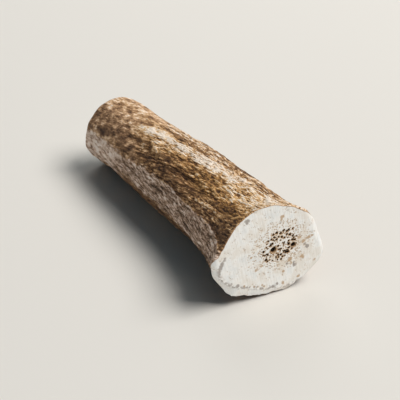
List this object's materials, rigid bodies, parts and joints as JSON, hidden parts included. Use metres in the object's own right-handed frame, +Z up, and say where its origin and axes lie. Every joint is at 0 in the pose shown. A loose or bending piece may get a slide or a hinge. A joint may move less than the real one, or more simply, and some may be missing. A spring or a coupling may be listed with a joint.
{
  "type": "elk antler dog chew",
  "caption": "Sawn length of elk antler for a dog to chew, with rough brown bark, flat sawn ends and an open spongy marrow.",
  "frame": {"origin": "bottom centre of the bounding box, on the surface that the antler lies on", "axes": "+X along the antler towards its large sawn end, +Z up, +Y to the right of someone who looks at the large end"},
  "size_m": [0.138, 0.0582, 0.0475],
  "materials": {
    "antler": "rough brown antler bark with pale worn ridges, and ivory sawn bone at both ends"
  },
  "bodies": {
    "root": {"antler": "antler"}
  },
  "joints": []
}
